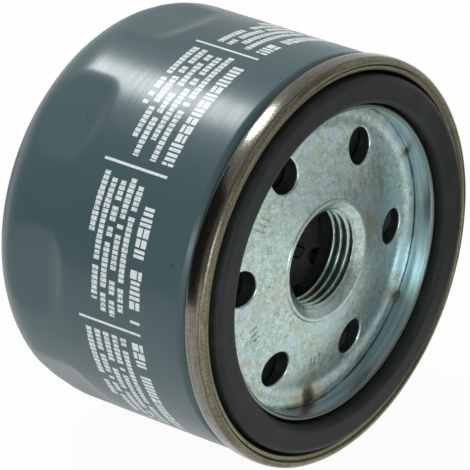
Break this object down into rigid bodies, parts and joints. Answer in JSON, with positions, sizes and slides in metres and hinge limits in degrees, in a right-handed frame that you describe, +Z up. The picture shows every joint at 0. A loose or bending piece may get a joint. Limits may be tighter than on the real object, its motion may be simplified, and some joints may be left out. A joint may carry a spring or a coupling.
{
  "type": "spin-on oil filter",
  "caption": "Short spin-on canister oil filter with a rolled seam, sealing gasket, threaded base plate with oil inlets, pleated element, bypass valve and anti-drainback valve.",
  "frame": {"origin": "centre of the gasket's sealing face, on the thread's axis", "axes": "+X along the filter's axis and out of the open, threaded end; +Z up as the filter lies on its side; +Y completes the right-handed set"},
  "size_m": [0.0543, 0.076, 0.076],
  "materials": {
    "blue_grey_paint": "semi-gloss slate blue-grey enamel",
    "seam_steel": "bare rolled steel, slightly bronzed",
    "zinc_plate": "zinc-plated pressed steel, mottled",
    "weld_mark": "burnt weld metal",
    "gasket_rubber": "matt black nitrile rubber",
    "valve_rubber": "smooth dark nitrile rubber",
    "seam_sealant": "cured sealing compound",
    "cap_steel": "tinned pressed steel",
    "filter_paper": "resin-bonded filter paper",
    "plastisol": "cured plastisol adhesive",
    "spring_steel": "oiled spring steel"
  },
  "bodies": {
    "housing": {"can": "blue_grey_paint", "gasket_retainer": "seam_steel", "base_plate": "zinc_plate", "seam_compound": "seam_sealant", "weld_spots": "weld_mark", "gasket": "gasket_rubber", "drainback_spring": "spring_steel", "element_grommet": "valve_rubber", "front_end_cap": "cap_steel", "rear_end_cap": "cap_steel", "center_tube": "cap_steel", "front_adhesive": "plastisol", "rear_adhesive": "plastisol", "pleated_media": "filter_paper", "media_seam_clip": "cap_steel", "bypass_valve_body": "cap_steel", "bypass_spring": "spring_steel", "hold_down_spring": "spring_steel"},
    "bypass_plunger": {"bypass_poppet": "cap_steel", "bypass_seal": "valve_rubber"},
    "drainback_flap": {"drainback_valve": "valve_rubber"}
  },
  "joints": [
    {"name": "bypass_lift", "type": "slide", "parent": "housing", "child": "bypass_plunger", "axis": [1, 0, 0], "range_m": [0, 0.003], "stiffness_N_per_m": 2000, "springref_m": -0.008, "deforming": ["bypass_spring"]},
    {"name": "drainback_lift", "type": "slide", "parent": "housing", "child": "drainback_flap", "axis": [-1, 0, 0], "range_m": [0, 0.001], "stiffness_N_per_m": 400, "springref_m": -0.002, "deforming": ["drainback_spring"]}
  ]
}
